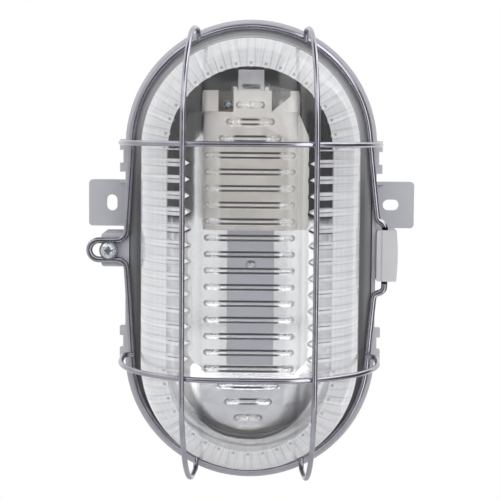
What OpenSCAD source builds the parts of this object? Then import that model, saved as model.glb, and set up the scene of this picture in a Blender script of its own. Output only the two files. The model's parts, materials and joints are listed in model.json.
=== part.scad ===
// Oval bulkhead wall light with a hinged wire cage.
// The light hangs upright on a wall: X is to the right, Z is up, and the back face lies on Y = 0.
// Every piece is drawn flat first, with x to the right, y up the lamp and z the distance from the wall.

/* [Housing] */
// Half width of the housing at its rim
rim_r = 62.5; // [50:0.5:80]
// Distance between the centres of the two round ends
straight_l = 104; // [70:1:160]
// Distance from the wall to the seat of the cage ring, which is the top of the glass flange
seat_z = 36; // [30:0.5:50]
// Thickness of the housing's walls
wall = 2.5; // [1.8:0.1:4]
// Thickness of the housing's back
back_t = 3; // [2:0.1:5]
// How far the housing narrows from its rim to the wall
back_inset = 4; // [1:0.5:10]
// Height of the flared flange band at the rim
band_h = 9; // [6:0.5:12]
// Thickness of the lip that stands round the glass flange
lip_t = 1.9; // [1.2:0.1:3]
// How far the lip stays below the ring seat
lip_drop = 0.3; // [0.1:0.1:2]

/* [Gasket] */
// Thickness of the gasket
gasket_t = 2.2; // [1:0.1:4]
// Width of the gasket
gasket_w = 3.2; // [2:0.1:4]

/* [Glass cover] */
// Thickness of the glass flange
flange_t = 4; // [3:0.1:6]
// Distance from the housing's rim in to the outside of the glass wall
glass_inset = 9.5; // [8:0.5:14]
// Height of the glass above its flange
glass_rise = 65.7; // [50:0.1:90]
// Half width of the flat front of the glass, between its rounded shoulders
flat_half = 10; // [4:0.5:24]
// Thickness of the glass
glass_t = 3.5; // [2.5:0.1:5]
// Height of the ribs inside the glass
rib_h = 1.1; // [0.5:0.1:2]
// Distance between neighbouring ribs along the straight sides
rib_pitch = 7.6; // [5:0.1:12]
// Width of a rib
rib_w = 3.6; // [2:0.1:5]
// Angle between neighbouring ribs round the ends
rib_step = 10; // [6:1:20]
// Length of the ribs round the ends, seen from the front
rib_l = 15.6; // [8:0.1:20]
// Length of the ribs along the sides, seen from the front, to their points
side_rib_l = 26; // [18:0.5:30]
// Width of a lens bar across the front
bar_w = 2.5; // [1.5:0.1:4]
// Half length of the long lens bars
bar_half = 20.4; // [12:0.1:26]

/* [Cage] */
// Radius of the ring wire
ring_wire_r = 1.65; // [1:0.05:2.5]
// Radius of the wires that arch over the glass
wire_r = 1.35; // [0.8:0.05:2]
// Distance from the housing's rim in to the middle of the ring wire
ring_inset = 3.6; // [2.5:0.1:5]
// Distance from the front of the glass to the middle of the long wires
cage_gap = 6.75; // [5:0.25:15]
// How much wider the long wires arch than the ends of the glass
long_ease = 0; // [0:0.5:12]
// How much wider the cross wires arch than the shoulders of the glass
cross_ease = 9; // [5:0.5:12]
// Distance of a long wire from the middle, at the ring
long_x = 26.25; // [15:0.25:40]
// Outward lean of the long wires
long_lean = 3.5; // [0:0.1:8]
// Outward lean of the cross wires
cross_lean = 1; // [0:0.1:6]
// How far the upper cross wire stands past the centre of the upper round end
cross_past = 1.5; // [0:0.1:4]
// Bend radius of the long wires' feet
long_foot_r = 4.6; // [4:0.1:12]
// Bend radius of the cross wires' feet
cross_foot_r = 3.8; // [3.5:0.1:12]
// Depth that the arching wires sink into the ring wire at their welds
weld = 0.15; // [0.05:0.05:0.4]
// Depth that the cross wires sink into the long wires at their welds
cross_weld = 0.25; // [0.15:0.05:0.4]

/* [Closure] */
// Inner half width of the eye that the ring makes round the screw, to the middle of the wire
eye_r = 4.85; // [4:0.05:8]
// Distance from the screw out to the end of the eye, to the middle of the wire
eye_over = 10; // [7:0.1:16]
// Outward slant of the ring's legs towards the eye
eye_slant = 3.5; // [1:0.5:8]
// Bend radius where the ring turns out to the eye
eye_bend_r = 5; // [3:0.1:8]
// Distance from the housing's rim out to the closure screw
screw_reach = 7.9; // [7:0.1:14]
// Radius of the closure screw's shank
screw_r = 2; // [1.5:0.1:3]
// Radius of the closure screw's head
screw_head_r = 3.9; // [3:0.1:6]
// Length of the closure screw's shank under its washer
screw_l = 13; // [8:0.5:20]
// Clearance round the screw in the boss
boss_gap = 0.65; // [0.3:0.05:1]
// Length of the closure boss along the lamp
boss_l = 16.8; // [12:0.1:24]
// Distance from the screw out to the boss's outer face
boss_over = 4.1; // [3.5:0.1:8]

/* [Hinge] */
// Distance from the housing's rim out to the hinge axis
hinge_reach = 4.4; // [4:0.1:8]
// Upper end of the hinge block
hinge_top = 11.25; // [5:0.25:20]
// Lower end of the hinge block
hinge_low = -14.25; // [-25:0.25:-5]
// Steepest turn of the double bend above the hinge block
upper_turn = 61.3; // [40:0.1:88]
// Steepest turn of the double bend below the hinge block
lower_turn = 81.3; // [40:0.1:88]
// Bend radius of the double bend above the hinge
upper_jog_r = 4; // [2.5:0.1:6]
// Bend radius of the double bend below the hinge
lower_jog_r = 3.2; // [2.5:0.1:6]
// Straight wire between the hinge block and the double bend above it
upper_stub = 0.2; // [0.1:0.1:4]
// Straight wire between the hinge block and the double bend below it
lower_stub = 2.9; // [0.1:0.1:4]
// Length of wire that turns inside each end of the hinge block
pin_l = 8; // [5:0.5:11]
// Running clearance round the wire in the hinge block
pin_gap = 0.08; // [0.02:0.01:0.1]

/* [Fixing lugs] */
// Distance from the housing's rim out to the lugs' ends
lug_reach = 21.75; // [16:0.25:34]
// Height of the middle of the lugs above the middle of the lamp
lug_y = 21.6; // [0:0.1:40]
// Length of a lug along the lamp
lug_l = 24; // [16:0.5:40]
// Thickness of a lug
lug_t = 3; // [2:0.1:5]
// Distance of the slots' centres from the lugs' ends
slot_inset = 11.95; // [8:0.05:13]
// Half width of a slot
slot_r = 2.8; // [2:0.1:4]
// End to end length of a slot
slot_l = 8.4; // [6:0.1:14]

/* [Reflector] */
// Thickness of the reflector sheet
sheet_t = 0.8; // [0.4:0.1:1.5]
// Clearance between the reflector's wall and the glass
reflector_gap = 3.5; // [2:0.1:8]
// Width of the reflector's dished side, seen from the front
dish_w = 16; // [8:0.5:20]
// Distance of the reflector's floor from the wall
floor_z = 12; // [8:0.5:16]
// Length of the reflector's dished upper end, seen from the front
dish_up = 40.3; // [30:0.1:46]
// Length of the reflector's dished lower end, seen from the front
dish_down = 35; // [25:0.5:46]
// Half width of the raised tongue in the floor
tongue_half = 11.4; // [7:0.1:14]
// Height of the raised tongue
tongue_h = 1.6; // [1:0.1:3]

/* [Lampholder] */
// Distance of the socket's axis from the wall
socket_z = 46; // [42:0.5:60]
// Inner radius of the screw shell
shell_r = 13.35; // [7:0.05:17]
// Half width of the holder
holder_half = 22.8; // [18:0.1:30]
// Distance from the reflector's upper end to the holder's upper end
holder_end_gap = 18.8; // [15:0.1:30]
// Length of the holder
holder_l = 66.5; // [50:0.5:80]
// Depth of the holder from its foot to its face
holder_d = 46; // [36:0.5:54]

/* [Hidden] */
$fn = 48;
eps = 0.01;
// How far a cutter runs past the faces it cuts
past = 1;

// Housing section
back_r = rim_r - back_inset;
rim_z = seat_z - lip_drop;
ledge_z = seat_z - flange_t - gasket_t;
lip_in = rim_r - lip_t;
band_z = rim_z - band_h;
flare_w = 2.3;
flare_h = 3;
neck_r = rim_r - flare_w;
inner_r = neck_r - wall;
edge_r = 3;
edge_bite = 0.9;
fillet = 2;

// Gasket and glass section
gasket_gap = 0.2;
glass_gap = 0.4;
flange_r = lip_in - glass_gap;
glass_r = rim_r - glass_inset;
glass_top = seat_z + glass_rise;
shoulder_r = glass_r - flat_half;
shoulder_z = glass_top - shoulder_r;

// Cage levels, measured from the wall, and the reach of its parts from the middle
seat_gap = 0.3;
ring_r = rim_r - ring_inset;
ring_z = seat_z + seat_gap + ring_wire_r;
foot_z = ring_wire_r + wire_r - weld;
cage_rise = glass_top + cage_gap - ring_z;
hinge_x = rim_r + hinge_reach;
screw_x = rim_r + screw_reach;
eye_end = screw_x + eye_over;
ring_sides = 12;
wire_sides = 10;

// Reflector levels and outlines
reflector_r = glass_r - glass_t - reflector_gap;
reflector_drop = 2;
reflector_rim_z = seat_z - flange_t - reflector_drop;
floor_half = reflector_r - dish_w;
bright_z = floor_z + sheet_t;
floor_top = straight_l / 2 + reflector_r - dish_up;
floor_low = dish_down - straight_l / 2 - reflector_r;

// Socket and holder levels
holder_top = straight_l / 2 + reflector_r - holder_end_gap;
mouth_y = holder_top - holder_l;
holder_foot = socket_z - holder_d / 2;
holder_face = socket_z + holder_d / 2;
shell_wall = 0.5;
shell_gap = 0.6;
shell_inset = 5;
shell_y = mouth_y + shell_inset;
shell_l = 21;
cup_gap = 0.3;
cup_y = shell_y + shell_l + cup_gap;
cup_h = 3.7;
cup_wall = 2;
socket_l = 34;

// Colours
grey = [0.69, 0.69, 0.72];
wire_grey = [0.55, 0.55, 0.58];
cream = [0.86, 0.84, 0.79];
steel = [0.78, 0.79, 0.8];
brass = [0.8, 0.65, 0.35];

// Turns a piece that is drawn flat into its place on the wall
module upright() {
    rotate([90, 0, 0]) children();
}

// A flat oval of half width r
module oval(r) {
    for (end = [-1, 1]) translate([0, end * straight_l / 2]) circle(r);
    translate([-r, -straight_l / 2]) square([2 * r, straight_l]);
}

// Sweeps a half section round the oval: the section's x is the distance from the middle line
module oval_sweep() {
    for (end = [0, 1])
        rotate(180 * end) translate([0, straight_l / 2, 0]) rotate_extrude(angle = 180) children();
    for (side = [0, 1])
        mirror([side, 0, 0]) translate([0, straight_l / 2, 0]) rotate([90, 0, 0])
            linear_extrude(straight_l) children();
}

// A flat slot along x, of half width r and length l from end to end
module slot(r, l) {
    for (end = [-1, 1]) translate([end * (l / 2 - r), 0]) circle(r);
    square([l - 2 * r, 2 * r], center = true);
}

// A flat rectangle with rounded corners
module rounded(w, h, r) {
    square([w - 2 * r, h], center = true);
    square([w, h - 2 * r], center = true);
    for (x = [-1, 1], y = [-1, 1]) translate([x * (w / 2 - r), y * (h / 2 - r)]) circle(r);
}

// Points of an arc about a centre, from one angle to another
function arc(centre, r, from, to, steps) =
    [for (i = [0 : steps]) let (a = from + (to - from) * i / steps) centre + r * [cos(a), sin(a)]];

// Direction of a path at one of its points
function heading(path, i) =
    let (step = path[min(i + 1, len(path) - 1)] - path[max(i - 1, 0)]) step / norm(step);

// A closed skin through a row of outlines that all have as many points
module loft(outlines) {
    n = len(outlines[0]);
    last = (len(outlines) - 1) * n;
    walls = [for (i = [0 : n : last - n], j = [0 : n - 1], half = [0, 1]) let (k = (j + 1) % n)
        half == 0 ? [i + j, i + n + j, i + n + k] : [i + j, i + n + k, i + k]];
    start = [for (j = [0 : n - 1]) j];
    finish = [for (j = [n - 1 : -1 : 0]) last + j];
    polyhedron(points = [for (outline = outlines, p = outline) p], faces = concat([start], walls, [finish]));
}

// A round wire along a flat path
module wire(path, r, sides) {
    loft([for (i = [0 : len(path) - 1]) let (t = heading(path, i)) [for (j = [0 : sides - 1])
        let (a = 360 * j / sides)
        [path[i][0] - t[1] * r * cos(a), path[i][1] + t[0] * r * cos(a), r * sin(a)]]]);
}

// A screw with a rounded pan head and a cross recess, its head's seat at z = 0 and its shank below
module pan_screw(shank_r, head_r, length) {
    head_h = head_r * 0.62;
    crown_r = head_r * 1.5;
    recess_w = head_r * 0.22;
    recess_l = head_r * 1.15;
    recess_d = head_r * 0.4;
    difference() {
        union() {
            translate([0, 0, -length]) cylinder(r = shank_r, h = length);
            rotate_extrude() intersection() {
                translate([0, head_h - crown_r]) circle(crown_r);
                square([head_r, head_h]);
            }
        }
        for (a = [0, 90]) rotate(a) translate([-recess_l / 2, -recess_w / 2, head_h - recess_d])
            cube([recess_l, recess_w, recess_d + past]);
    }
}

// Half section of the housing, from its middle line to its rim
module housing_section() {
    polygon([
        [0, 0], [back_r - edge_r, 0], [back_r - edge_bite, edge_bite], [back_r, edge_r],
        [neck_r, band_z], [rim_r, band_z + flare_h], [rim_r, rim_z], [lip_in, rim_z],
        [lip_in, ledge_z], [inner_r, ledge_z], [back_r - wall, back_t + fillet],
        [back_r - wall - fillet, back_t], [0, back_t]
    ]);
}

lug_end = rim_r + lug_reach;
slot_x = lug_end - slot_inset;
lug_corner = 2;
lug_rib_l = 6;
lug_rib_h = 8;
lug_rib_t = 1.6;
// One fixing lug with its edge ribs, for the right side
module lug(slot_turn) {
    root = back_r - wall;
    difference() {
        union() {
            translate([(root + lug_end) / 2, lug_y, 0]) linear_extrude(lug_t)
                rounded(lug_end - root, lug_l, lug_corner);
            for (edge = [-1, 1]) translate([root, lug_y + edge * (lug_l - lug_rib_t) / 2 + lug_rib_t / 2, 0])
                rotate([90, 0, 0]) linear_extrude(lug_rib_t)
                    polygon([[0, 0], [rim_r + lug_rib_l - root, 0], [rim_r + lug_rib_l - root, lug_t],
                             [neck_r - root, lug_t + lug_rib_h], [0, lug_t + lug_rib_h]]);
        }
        translate([slot_x, lug_y, -past]) linear_extrude(lug_t + 2 * past) rotate(slot_turn)
            slot(slot_r, slot_l);
    }
}

catch_below = 13.1;
catch_above = 3;
catch_sink = 0.2;
catch_web = 1.2;
catch_reach = 2.9;
catch_z = band_z + 1;
catch_drop = 1.5;
// Lengths of a bracket's two teeth along the lamp, the inner one first
teeth = [4.4, 5.2];
// One catch bracket of two teeth on a web, for the right side
module catch_bracket() {
    low = straight_l / 2 - catch_below;
    top = straight_l / 2 + catch_above;
    root = lip_in + catch_sink;
    catch_h = rim_z - catch_drop - catch_z;
    translate([root, low, catch_z]) cube([rim_r + catch_web - root, top - low, catch_h]);
    for (tooth = [[low, teeth[0]], [top - teeth[1], teeth[1]]])
        translate([root, tooth[0], catch_z]) cube([rim_r + catch_reach - root, tooth[1], catch_h]);
}

// How far the blocks beside the rim reach into the housing's wall
block_sink = 1;
block_root = back_r - block_sink;

boss_end = screw_x + boss_over;
boss_deep = 24;
boss_corner = 1.5;
// The block beside the rim that takes the closure screw
module closure_boss() {
    difference() {
        translate([-(boss_end + block_root) / 2, 0, seat_z - boss_deep]) linear_extrude(boss_deep)
            rounded(boss_end - block_root, boss_l, boss_corner);
        translate([-screw_x, 0, seat_z - boss_deep - past])
            cylinder(r = screw_r + boss_gap, h = boss_deep + 2 * past);
        translate([-lip_in, -boss_l, ledge_z]) cube([lip_in, 2 * boss_l, seat_z]);
    }
}

hinge_seat_z = seat_z - 14;
hinge_hole_r = 1.3;
hinge_screw_inset = 5;
hinge_screw_y = [hinge_low + hinge_screw_inset, hinge_top - hinge_screw_inset];
shelf_end = hinge_x + 5;
shelf_t = 3;
gusset_h = 12;
// The shelf beside the rim that carries the hinge block
module hinge_shelf() {
    difference() {
        union() {
            translate([block_root, hinge_low, hinge_seat_z - shelf_t])
                cube([shelf_end - block_root, hinge_top - hinge_low, shelf_t]);
            for (y = [hinge_low, hinge_top - wall])
                translate([block_root, y + wall, hinge_seat_z - shelf_t]) rotate([90, 0, 0])
                    linear_extrude(wall) polygon([[0, 0], [shelf_end - block_root, 0], [0, -gusset_h]]);
        }
        for (y = hinge_screw_y) translate([hinge_x, y, hinge_seat_z - shelf_t - past])
            cylinder(r = hinge_hole_r, h = shelf_t + 2 * past);
    }
}

entry_margin = 2.25;
entry_r = (band_z - back_t) / 2 - entry_margin;
entry_z = (band_z + back_t) / 2;
entry_pad_r = entry_r + 3.8;
entry_pad_t = 6;
entry_cut_l = 20;
// Height of the flat outer face of the pads at the cable entries
entry_y = straight_l / 2 + neck_r;
post_r = 4;
post_hole_r = 1.25;
post_floor = 0.5;
// Heights of the two posts under the holder, and of the one below it
holder_post_y = [mouth_y + 12, floor_top - 7];
reflector_screw_y = -9.4;
post_gap = 0.2;
post_top = floor_z - post_gap;

module housing() {
    color(grey) upright() difference() {
        union() {
            oval_sweep() housing_section();
            lug(0);
            mirror([1, 0, 0]) lug(90);
            for (side = [0, 1], end = [0, 1]) mirror([side, 0, 0]) mirror([0, end, 0]) catch_bracket();
            closure_boss();
            hinge_shelf();
            for (y = concat(holder_post_y, [reflector_screw_y]))
                translate([0, y, back_t - eps]) cylinder(r = post_r, h = post_top - back_t + eps);
            intersection() {
                for (end = [-1, 1]) translate([0, end * (entry_y - entry_pad_t), entry_z])
                    rotate([-90 * end, 0, 0]) cylinder(r = entry_pad_r, h = entry_pad_t);
                linear_extrude(ledge_z) oval(rim_r);
            }
        }
        for (end = [-1, 1]) translate([0, end * (entry_y - entry_cut_l / 2), entry_z])
            rotate([-90 * end, 0, 0]) cylinder(r = entry_r, h = entry_cut_l);
        for (y = concat(holder_post_y, [reflector_screw_y]))
            translate([0, y, back_t + post_floor]) cylinder(r = post_hole_r, h = post_top);
    }
}

module gasket() {
    color([0.45, 0.46, 0.44]) upright() oval_sweep()
        translate([lip_in - gasket_gap - gasket_w, ledge_z]) square([gasket_w, gasket_t]);
}

// Half section of the glass at a depth under its outer surface
module glass_half(inset) {
    low = seat_z - flange_t - past;
    intersection() {
        union() {
            translate([0, low]) square([glass_r - inset, shoulder_z - low]);
            translate([0, seat_z]) square([flat_half, glass_top - inset - seat_z]);
            translate([flat_half, shoulder_z]) circle(shoulder_r - inset);
        }
        translate([0, low]) square([glass_r, glass_top - low + past]);
    }
}

// Half lengths of the bars past the long ones, and the length of a side rib's point
bar_ends = [14, 10.8, 6.3];
taper_l = 9;
rib_sink = 0.1;
rib_start = 2;
// Flat pattern of the ribs inside the glass, seen from the front
module rib_pattern() {
    long_bars = round(straight_l / 2 / rib_pitch);
    side_count = floor((straight_l / 2 - rib_w / 2) / rib_pitch);
    window_r = glass_r - rib_l;
    rib_tip = glass_r - side_rib_l;
    taper_x = rib_tip + taper_l;
    for (end = [-1, 1], a = [0 : rib_step : 180])
        translate([0, end * straight_l / 2]) rotate(end * a) {
            translate([window_r, -rib_w / 2]) square([glass_r - window_r, rib_w]);
            translate([window_r, 0]) circle(rib_w / 2);
        }
    for (side = [-1, 1], k = [-side_count : side_count])
        translate([0, k * rib_pitch]) polygon([
            [side * glass_r, -rib_w / 2], [side * taper_x, -rib_w / 2], [side * rib_tip, 0],
            [side * taper_x, rib_w / 2], [side * glass_r, rib_w / 2]]);
    for (side = [-1, 1], k = [0 : long_bars + len(bar_ends) - 1])
        let (half = k < long_bars ? bar_half : bar_ends[k - long_bars])
        translate([0, side * (k + 0.5) * rib_pitch]) slot(bar_w / 2, 2 * half);
}

module glass_cover() {
    color([0.85, 0.92, 0.93, 0.4]) upright() {
        oval_sweep() difference() {
            union() {
                difference() {
                    glass_half(0);
                    square([glass_r + past, seat_z - flange_t]);
                }
                translate([glass_r - glass_t, seat_z - flange_t])
                    square([flange_r - glass_r + glass_t, flange_t]);
            }
            glass_half(glass_t);
        }
        intersection() {
            oval_sweep() difference() {
                glass_half(glass_t - rib_sink);
                glass_half(glass_t + rib_h);
                square([glass_r, seat_z + rib_start]);
            }
            linear_extrude(glass_top) rib_pattern();
        }
    }
}

dish_steps = 7;
dish_start = 30;
corner_steps = 8;
floor_corner = 5;
corner_ease = 0.5;
underside = 0.8;
reflector_lip = 2.5;

// Points of a rectangle of half width w from low to top, with rounded corners
function outline(w, low, top, r, z) =
    [for (p = concat(
        arc([w - r, top - r], r, 0, 90, corner_steps), arc([r - w, top - r], r, 90, 180, corner_steps),
        arc([r - w, low + r], r, 180, 270, corner_steps), arc([w - r, low + r], r, 270, 360, corner_steps)
    )) [p[0], p[1], z]];

// Outline of the dish where its wall has turned to an angle, grown and lowered by an amount
function dish_outline(turn, grow, drop) =
    let (
        share = (sin(turn) - sin(dish_start)) / (1 - sin(dish_start)),
        up = (cos(dish_start) - cos(turn)) / cos(dish_start),
        w = floor_half + dish_w * share + grow,
        top = floor_top + (straight_l / 2 + reflector_r - floor_top) * share + grow,
        low = floor_low - (straight_l / 2 + reflector_r + floor_low) * share - grow,
        r = floor_corner + (reflector_r - floor_corner) * share + grow - corner_ease
    )
    outline(w, low, top, r, bright_z + (reflector_rim_z - bright_z) * up - drop);

// The dish runs from its underside round its lip and back down to the bright floor
module dish() {
    turns = [for (i = [0 : dish_steps]) dish_start + (90 - dish_start) * i / dish_steps];
    loft(concat(
        [for (turn = turns)
            dish_outline(turn, turn == 90 ? sheet_t : sheet_t * sin(turn) * underside, sheet_t)],
        [dish_outline(90, reflector_lip, sheet_t), dish_outline(90, reflector_lip, 0)],
        [for (i = [dish_steps : -1 : 0]) dish_outline(turns[i], 0, 0)]
    ));
}

tongue_under = 6;
tongue_inset = 1.5;
tongue_corner = 6;
// Flat outline of the raised tongue, smaller by an inset
module tongue(inset) {
    top = mouth_y + tongue_under;
    low = floor_low + tongue_inset;
    translate([0, (top + low) / 2])
        rounded(2 * (tongue_half - inset), top - low - 2 * inset, tongue_corner - inset);
}

// The screws that hold the reflector, the bracket and the hinge block
small_screw_r = 1.2;
reflector_hole_r = 1.8;
module reflector() {
    color([0.88, 0.89, 0.9]) upright() difference() {
        union() {
            dish();
            translate([0, 0, floor_z]) linear_extrude(tongue_h + sheet_t) tongue(0);
        }
        translate([0, 0, floor_z - past]) linear_extrude(tongue_h + past) tongue(sheet_t);
        for (y = concat(holder_post_y, [reflector_screw_y])) translate([0, y, floor_z - past])
            cylinder(r = reflector_hole_r, h = tongue_h + sheet_t + 2 * past);
    }
}

module reflector_screw() {
    color(steel) upright() translate([0, reflector_screw_y, floor_z + tongue_h + sheet_t])
        pan_screw(small_screw_r, 2.8, 8);
}

bracket_t = 2.5;
bracket_w = 21.5;
bracket_corner = 3;
screw_access_r = 3;
web_x = 9;
web_inset = 2;
foot_inset = 1;
shelf_above = 20;
tab_w = 12.5;
tab_gap = 0.3;
tab_l = 10;
tab_y = holder_top + tab_gap;
tab_z = holder_face - 11;
tab_side = 2;
tab_slot_y = 0.8;
tab_slot_l = 2;
arm_y = tab_y + 3;
// The clip behind the holder: a foot on the reflector, two webs, a shelf and an arm with a slotted tab
module holder_bracket() {
    low = holder_post_y[0] - bracket_corner;
    foot_end = floor_top - foot_inset;
    shelf_y = low + shelf_above;
    color([0.74, 0.74, 0.76]) upright() difference() {
        union() {
            translate([0, (low + foot_end) / 2, bright_z]) linear_extrude(bracket_t)
                rounded(bracket_w, foot_end - low, bracket_corner);
            for (side = [-1, 1]) translate([side * web_x - bracket_t / 2, low + web_inset, bright_z])
                cube([bracket_t, foot_end - low - 2 * web_inset, holder_foot - bright_z]);
            translate([0, (shelf_y + arm_y + bracket_t) / 2, holder_foot - bracket_t])
                linear_extrude(bracket_t) rounded(bracket_w, arm_y + bracket_t - shelf_y, bracket_corner);
            translate([-tab_w / 2, arm_y, holder_foot - bracket_t])
                cube([tab_w, bracket_t, tab_z + bracket_t - holder_foot]);
            translate([-tab_w / 2, tab_y, tab_z - bracket_t]) cube([tab_w, tab_l, bracket_t]);
        }
        translate([tab_side - tab_w / 2, tab_y + tab_slot_y, tab_z - bracket_t - past])
            cube([tab_w - 2 * tab_side, tab_slot_l, bracket_t + 2 * past]);
        for (y = holder_post_y) {
            translate([0, y, bright_z - past]) cylinder(r = reflector_hole_r, h = bracket_t + 2 * past);
            translate([0, y, bright_z + bracket_t]) cylinder(r = screw_access_r, h = holder_d);
        }
    }
}

module holder_screws() {
    color(steel) upright() for (y = holder_post_y) translate([0, y, bright_z + bracket_t])
        pan_screw(small_screw_r, 2.6, 9);
}

pocket_y = 10;
pocket_z = 16;
lip_z = 5;
// The two terminal pockets at the upper end, as [left, right] edges, and the middles of their terminals
pockets = [[-15.5, -8.2], [9.8, 18.6]];
terminal_x = [-11, 14.2];
holder_corner = 9;
crown = 10;
crown_corner = 3;
ridge_half = 6;
ridge_l = 36;
ridge_h = 1.2;
ridge_corner = 2;
ear_x = ridge_half + 0.6;
ear = [1.9, 1.7, 6];
tooth_count = 7;
tooth_pitch = 1.4;
tooth_l = 1.2;
tooth_out = 0.7;
tooth_tip = 0.3;
tooth_deep = 9;
teeth_z = holder_face - 12;
flank_sink = 8;
flank_z = socket_z - 14;
flank_deep = 30;
shoulder_w = 13.2;
shoulder_cut = 4.7;
shoulder_low = 44.3;
shoulder_top = 55.5;
slant_end = 2.6;

// Flat outline of the holder's wider flank on the right, from the mouth up
module flank() {
    polygon([[0, 0], [shoulder_w, 0], [shoulder_w, shoulder_low], [shoulder_w - shoulder_cut, shoulder_top],
             [0, shoulder_top]]);
}

// The mouth of the right pocket is cut slantwise, so that a sloped face guides the wire
module right_pocket_mouth() {
    polygon([[pockets[1][0], holder_top + past], [pockets[1][0], holder_top - pocket_y],
             [pockets[1][1], holder_top - slant_end], [pockets[1][1], holder_top + past]]);
}

module lampholder_body() {
    color(cream) upright() difference() {
        union() {
            translate([0, mouth_y, socket_z]) rotate([-90, 0, 0]) linear_extrude(holder_l - crown)
                rounded(2 * holder_half, holder_d, holder_corner);
            translate([0, holder_top - crown, socket_z]) rotate([-90, 0, 0]) linear_extrude(crown)
                rounded(2 * holder_half, holder_d, crown_corner);
            translate([holder_half - flank_sink, mouth_y, flank_z]) linear_extrude(flank_deep) flank();
            translate([0, holder_top - ridge_l / 2, holder_face - eps]) linear_extrude(ridge_h)
                rounded(2 * ridge_half, ridge_l, ridge_corner);
            for (side = [0, 1]) mirror([side, 0, 0]) {
                translate([ear_x, holder_top - eps, holder_face - ear[2]]) cube(ear);
                for (k = [0 : tooth_count - 1])
                    translate([holder_half, holder_top - tooth_l - k * tooth_pitch, teeth_z])
                        linear_extrude(tooth_deep)
                            polygon([[-eps, 0], [tooth_out, -tooth_tip], [-eps, -tooth_l]]);
            }
        }
        translate([0, mouth_y - past, socket_z]) rotate([-90, 0, 0])
            cylinder(r = shell_r + shell_wall + shell_gap, h = socket_l + past);
        translate([pockets[0][0], holder_top - pocket_y, holder_face - pocket_z])
            cube([pockets[0][1] - pockets[0][0], pocket_y + past, pocket_z + ridge_h + past]);
        translate([pockets[1][0], holder_top - pocket_y, holder_face - pocket_z])
            cube([pockets[1][1] - pockets[1][0], pocket_y + past, pocket_z - lip_z]);
        translate([0, 0, holder_face - lip_z - past]) linear_extrude(lip_z + ridge_h + 2 * past)
            right_pocket_mouth();
    }
}

module screw_shell() {
    color(brass) upright() translate([0, shell_y, socket_z]) rotate([-90, 0, 0]) difference() {
        cylinder(r = shell_r + shell_wall, h = shell_l);
        translate([0, 0, -past]) cylinder(r = shell_r, h = shell_l + 2 * past);
    }
}

// The cup behind the shell, whose floor carries the centre contact
module contact_insulator() {
    color(cream) upright() translate([0, cup_y, socket_z]) rotate([-90, 0, 0]) difference() {
        cylinder(r = shell_r + shell_wall, h = mouth_y + socket_l - cup_y);
        translate([0, 0, -past]) cylinder(r = shell_r - cup_wall, h = cup_h + past);
    }
}

// The centre contact is a domed button on a strip that leads off to one side
contact_r = 4.5;
strip = [12, 5, 0.8];
strip_start = 4;
button_r = 3.5;
button_top_r = 2.5;
button_h = 3;
module centre_contact() {
    color(brass) upright() translate([0, cup_y + cup_h, socket_z]) rotate([90, 0, 0]) {
        cylinder(r = contact_r, h = strip[2]);
        translate([-strip_start, -strip[1] / 2, 0]) cube(strip);
        cylinder(r1 = button_r, r2 = button_top_r, h = button_h);
    }
}

terminal_w = 5.5;
terminal_l = 7;
terminal_h = 8;
terminal_y = holder_top - pocket_y;
terminal_z = holder_face - pocket_z;
terminal_floor = 1;
terminal_bore_r = 1.6;
terminal_screw_r = 1.5;
wire_hole_r = 1.5;
wire_hole_z = terminal_z + 3.2;
terminal_seat_z = terminal_z + terminal_h + 0.6;
module terminal(middle) {
    color(brass) upright() difference() {
        translate([middle - terminal_w / 2, terminal_y, terminal_z])
            cube([terminal_w, terminal_l, terminal_h]);
        translate([middle, terminal_y + terminal_l / 2, terminal_z + terminal_floor])
            cylinder(r = terminal_bore_r, h = terminal_h);
        translate([middle, terminal_y + terminal_l + past, wire_hole_z]) rotate([90, 0, 0])
            cylinder(r = wire_hole_r, h = terminal_l + 2 * past);
    }
}

module terminal_left() { terminal(terminal_x[0]); }
module terminal_right() { terminal(terminal_x[1]); }

module terminal_screws() {
    color(steel) upright() for (x = terminal_x)
        translate([x, terminal_y + terminal_l / 2, terminal_seat_z]) pan_screw(terminal_screw_r, 2.3, 4);
}

cable_r = 4;
grommet_play = 0.05;
grommet_head = 1.8;
grommet_bulge = 1;
grommet_taper = 1.5;
grommet_nose = 2.2;
// A stepped rubber grommet in an end wall, with a bore through it where bore_r is over 0
module grommet(bore_r) {
    difference() {
        union() {
            translate([0, 0, -grommet_head])
                cylinder(r = entry_r - grommet_play, h = entry_pad_t + 2 * grommet_head);
            translate([0, 0, -grommet_head]) cylinder(r = entry_r + grommet_head, h = grommet_head);
            translate([0, 0, entry_pad_t])
                cylinder(r1 = entry_r + grommet_bulge, r2 = entry_r - grommet_taper, h = grommet_nose);
        }
        if (bore_r > 0) translate([0, 0, -grommet_head - past])
            cylinder(r = bore_r, h = entry_pad_t + grommet_head + grommet_nose + 2 * past);
    }
}

module cable_grommet() {
    color([0.3, 0.31, 0.32]) upright() translate([0, entry_pad_t - entry_y, entry_z])
        rotate([90, 0, 0]) grommet(cable_r);
}

module blanking_grommet() {
    color([0.3, 0.31, 0.32]) upright() translate([0, entry_y - entry_pad_t, entry_z])
        rotate([-90, 0, 0]) grommet(0);
}

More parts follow.
